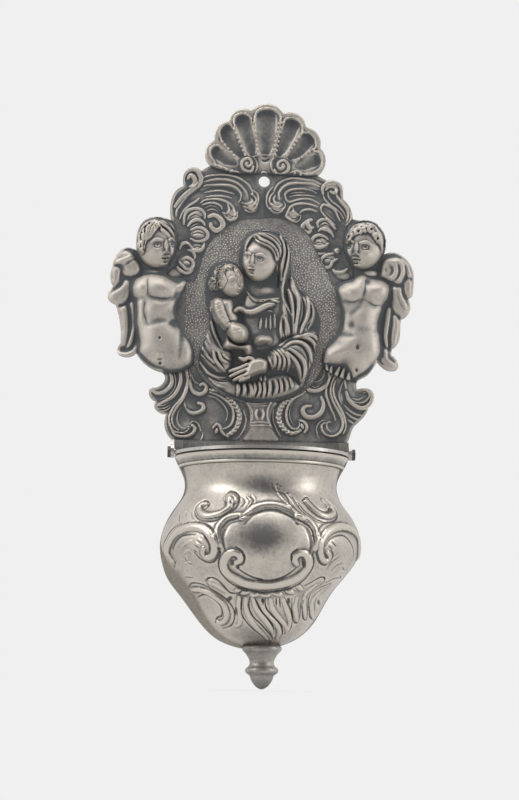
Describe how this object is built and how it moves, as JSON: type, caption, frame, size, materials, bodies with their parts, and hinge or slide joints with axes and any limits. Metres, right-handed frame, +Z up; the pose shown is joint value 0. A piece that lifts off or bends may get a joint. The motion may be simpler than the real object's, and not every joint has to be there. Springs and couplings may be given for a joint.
{
  "type": "holy water stoup",
  "caption": "Wall holy water stoup: relief back plate hung on a nail, half-vase water bowl with a hinged half-moon lid, turned finial.",
  "frame": {"origin": "centre of the nail hole, at the back plate's back face, which lies on the wall", "axes": "+Y into the wall, along the nail hole; +Z up, along the object's length; +X to the viewer's right"},
  "size_m": [0.1366, 0.0496, 0.2619],
  "materials": {
    "plate_pewter": "dark patinated pewter, punched ground",
    "relief_pewter": "aged pewter, rubbed bright on the high parts and dark in the recesses",
    "bowl_pewter": "aged pewter, satin, fine scratches and dark grooves",
    "lid_pewter": "aged pewter sheet, satin",
    "hinge_pewter": "dull dark metal"
  },
  "bodies": {
    "stoup": {"back_plate": "plate_pewter", "shell_crest": "relief_pewter", "mother_and_child": "relief_pewter", "cherub_left": "relief_pewter", "cherub_right": "relief_pewter", "upper_scrollwork_left": "relief_pewter", "upper_scrollwork_right": "relief_pewter", "lower_scrollwork_left": "relief_pewter", "lower_scrollwork_right": "relief_pewter", "centre_cartouche": "relief_pewter", "bowl_front": "bowl_pewter", "bowl_back": "bowl_pewter", "rim_band": "bowl_pewter", "finial": "bowl_pewter", "hinge_bracket_left": "hinge_pewter", "hinge_bracket_right": "hinge_pewter", "hinge_pin_left": "hinge_pewter", "hinge_pin_right": "hinge_pewter"},
    "lid": {"lid_plate": "lid_pewter", "lid_barrel": "lid_pewter"}
  },
  "joints": [
    {"name": "lid_hinge", "type": "hinge", "parent": "stoup", "child": "lid", "pos_m": [0, -0.0052, -0.1233], "axis": [-1, 0, 0], "range_deg": [0, 82]}
  ]
}
